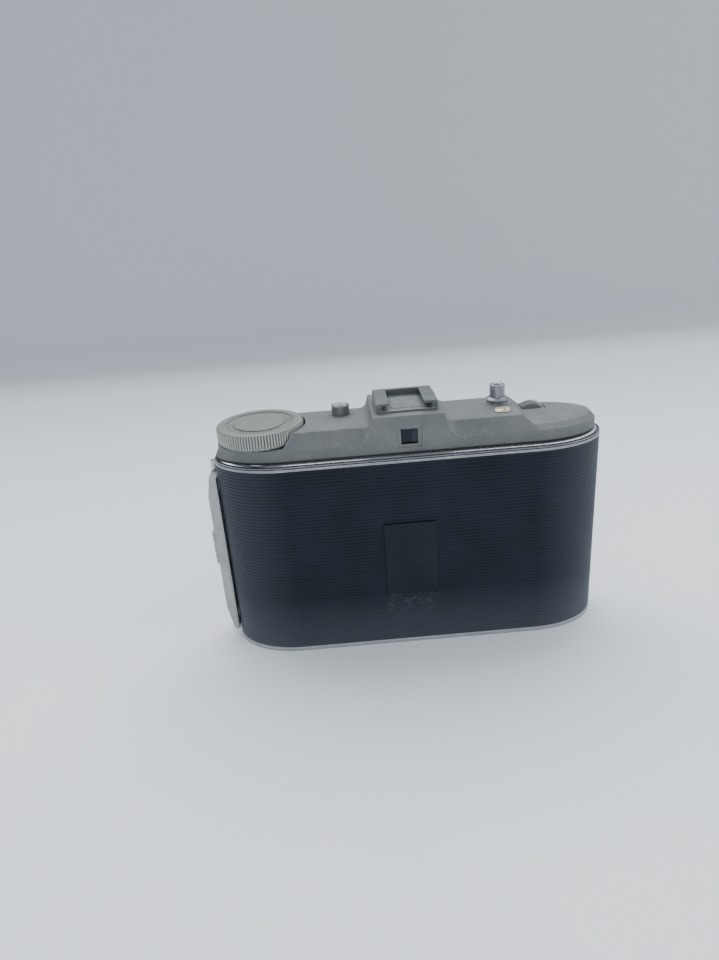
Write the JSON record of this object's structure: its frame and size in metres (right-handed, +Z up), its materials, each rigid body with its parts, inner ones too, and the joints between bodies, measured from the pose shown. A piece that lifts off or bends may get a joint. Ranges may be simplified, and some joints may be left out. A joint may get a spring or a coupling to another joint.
{
  "type": "folding rangefinder camera",
  "caption": "Folding roll-film rangefinder camera, closed: ribbed back with film window and latch, cast top with winding knob, finder, shoe, shutter release; drop-down front door with bellows.",
  "frame": {"origin": "mouth of the tripod bush, in the plane of the base", "axes": "+Z up, +Y towards the ribbed back, -Y towards the lens door, +X towards the winding knob (on the viewer's left seen from behind)"},
  "size_m": [0.1547, 0.0425, 0.0989],
  "materials": {
    "case_metal": "cast, satin",
    "chrome": "polished, slightly worn",
    "black_enamel": "satin black enamel",
    "nickel": "nickel plated",
    "brass": "worn plating",
    "leatherette": "ribbed leatherette",
    "steel": "turned",
    "housing_metal": "die-cast, grained satin",
    "glass": "clear",
    "mirror": "silvered",
    "shoe_metal": "plated, worn floor",
    "knob_metal": "turned, knurled rim",
    "red_glass": "ruby filter",
    "slide_leather": "smooth leatherette",
    "latch_metal": "satin",
    "bellows_leather": "folded, matt black"
  },
  "bodies": {
    "camera_body": {"body_casting": "case_metal", "base_trim": "chrome", "base_plate": "black_enamel", "slotted_screws": "nickel", "tripod_bush": "brass", "top_trim": "chrome", "chassis_plate": "case_metal", "film_gate": "black_enamel", "front_covering": "leatherette", "back_hinge_pin": "steel", "door_hinge_pin": "steel", "latch_brackets": "nickel", "top_housing": "housing_metal", "eyepiece_frame": "housing_metal", "eyepiece_glass": "glass", "front_windows": "glass", "beam_splitter": "mirror", "release_collar": "chrome", "deck_screw": "brass", "wheel_axle": "steel", "accessory_shoe": "shoe_metal", "bellows": "bellows_leather"},
    "winding": {"winding_knob": "knob_metal", "knob_disc": "knob_metal", "winding_shaft": "steel", "take_up_spool": "black_enamel"},
    "spool_pin_a": {"spool_pin_take_up": "nickel"},
    "spool_pin_b": {"spool_pin_supply": "nickel"},
    "roller_a": {"film_roller_a": "steel"},
    "roller_b": {"film_roller_b": "steel"},
    "door_button": {"door_button": "chrome", "door_catch": "steel", "door_button_spring": "steel"},
    "release": {"release_button": "chrome", "release_spring": "steel"},
    "range_wheel": {"rangefinder_wheel": "knob_metal"},
    "range_mirror": {"rangefinder_mirror": "mirror", "mirror_arm": "brass"},
    "back": {"back_cover": "chrome", "back_covering": "leatherette", "red_window_glass": "red_glass", "pressure_plate": "black_enamel", "pressure_springs": "steel"},
    "window_slide": {"window_slide": "slide_leather"},
    "latch": {"latch_bar": "latch_metal"},
    "door": {"front_door": "black_enamel", "door_covering": "leatherette"},
    "struts": {"side_struts": "nickel"},
    "standard": {"standard_plate": "nickel", "shutter_housing": "black_enamel", "shutter_cover": "nickel", "rear_lens_cell": "black_enamel", "rear_lens_glass": "glass", "shutter_blades": "steel"},
    "speed_ring": {"speed_ring": "black_enamel"},
    "focus": {"focus_ring": "nickel", "front_lens_glass": "glass"},
    "aperture": {"aperture_ring": "nickel"},
    "shutter_trip": {"release_lever": "nickel"},
    "cocking": {"cocking_lever": "nickel"}
  },
  "joints": [
    {"name": "winding_turn", "type": "hinge", "parent": "camera_body", "child": "winding", "pos_m": [0.0553, 0, 0.0923], "axis": [0, 0, 1], "continuous": true},
    {"name": "spool_pin_a_pull", "type": "slide", "parent": "camera_body", "child": "spool_pin_a", "axis": [0, 0, -1], "range_m": [0, 0.0045], "stiffness_N_per_m": 150, "springref_m": -0.002},
    {"name": "spool_pin_b_pull", "type": "slide", "parent": "camera_body", "child": "spool_pin_b", "axis": [0, 0, -1], "range_m": [0, 0.0045], "stiffness_N_per_m": 150, "springref_m": -0.002},
    {"name": "roller_a_turn", "type": "hinge", "parent": "camera_body", "child": "roller_a", "pos_m": [0.037, 0.0122, 0.04], "axis": [0, 0, 1], "continuous": true},
    {"name": "roller_b_turn", "type": "hinge", "parent": "camera_body", "child": "roller_b", "pos_m": [-0.037, 0.0122, 0.04], "axis": [0, 0, 1], "continuous": true},
    {"name": "door_button_press", "type": "slide", "parent": "camera_body", "child": "door_button", "axis": [0, 0, -1], "range_m": [0, 0.0014], "stiffness_N_per_m": 400, "springref_m": -0.0005, "deforming": ["door_button_spring"]},
    {"name": "release_press", "type": "slide", "parent": "camera_body", "child": "release", "axis": [0, 0, -1], "range_m": [0, 0.003], "stiffness_N_per_m": 250, "springref_m": -0.001, "deforming": ["release_spring"]},
    {"name": "range_wheel_turn", "type": "hinge", "parent": "camera_body", "child": "range_wheel", "pos_m": [-0.0493, -0.0073, 0.0834], "axis": [0, -1, 0], "range_deg": [0, 300]},
    {"name": "range_mirror_swing", "type": "hinge", "parent": "camera_body", "child": "range_mirror", "pos_m": [-0.058, 0.0005, 0.082], "axis": [0, 0, 1], "range_deg": [0, 3.6]},
    {"name": "back_open", "type": "hinge", "parent": "camera_body", "child": "back", "pos_m": [-0.0732, -0.0022, 0.04], "axis": [0, 0, 1], "range_deg": [0, 110]},
    {"name": "window_slide_move", "type": "slide", "parent": "back", "child": "window_slide", "axis": [0, 0, -1], "range_m": [0, 0.017]},
    {"name": "latch_lift", "type": "hinge", "parent": "camera_body", "child": "latch", "pos_m": [0.0756, -0.006, 0.04], "axis": [0, 0, -1], "range_deg": [0, 35], "stiffness_Nm_per_rad": 0.02},
    {"name": "door_open", "type": "hinge", "parent": "camera_body", "child": "door", "pos_m": [0, -0.0226, 0.0026], "axis": [1, 0, 0], "range_deg": [0, 90]},
    {"name": "standard_slide", "type": "slide", "parent": "camera_body", "child": "standard", "axis": [0, -1, 0], "range_m": [0, 0.052], "deforming": ["bellows"]},
    {"name": "strut_swing", "type": "hinge", "parent": "camera_body", "child": "struts", "pos_m": [0, -0.014, 0.067], "axis": [-1, 0, 0], "range_deg": [0, 63.2]},
    {"name": "focus_turn", "type": "hinge", "parent": "standard", "child": "focus", "pos_m": [0, 0.008, 0.0405], "axis": [0, -1, 0], "range_deg": [0, 240]},
    {"name": "speed_turn", "type": "hinge", "parent": "standard", "child": "speed_ring", "pos_m": [0, 0.008, 0.0405], "axis": [0, -1, 0], "range_deg": [0, 130]},
    {"name": "aperture_turn", "type": "hinge", "parent": "standard", "child": "aperture", "pos_m": [0, 0.008, 0.0405], "axis": [0, -1, 0], "range_deg": [0, 50]},
    {"name": "cocking_pull", "type": "hinge", "parent": "standard", "child": "cocking", "pos_m": [0, 0.008, 0.0405], "axis": [0, -1, 0], "range_deg": [0, 38], "stiffness_Nm_per_rad": 0.01},
    {"name": "shutter_trip_press", "type": "hinge", "parent": "standard", "child": "shutter_trip", "pos_m": [0, 0.008, 0.0405], "axis": [0, 1, 0], "range_deg": [0, 12], "stiffness_Nm_per_rad": 0.01}
  ],
  "couplings": [
    {"joint": "range_mirror_swing", "follows": "range_wheel_turn", "ratio": 0.012},
    {"joint": "standard_slide", "follows": "door_open", "m_per_rad": 0.033104},
    {"joint": "strut_swing", "follows": "door_open", "ratio": 0.70222}
  ]
}
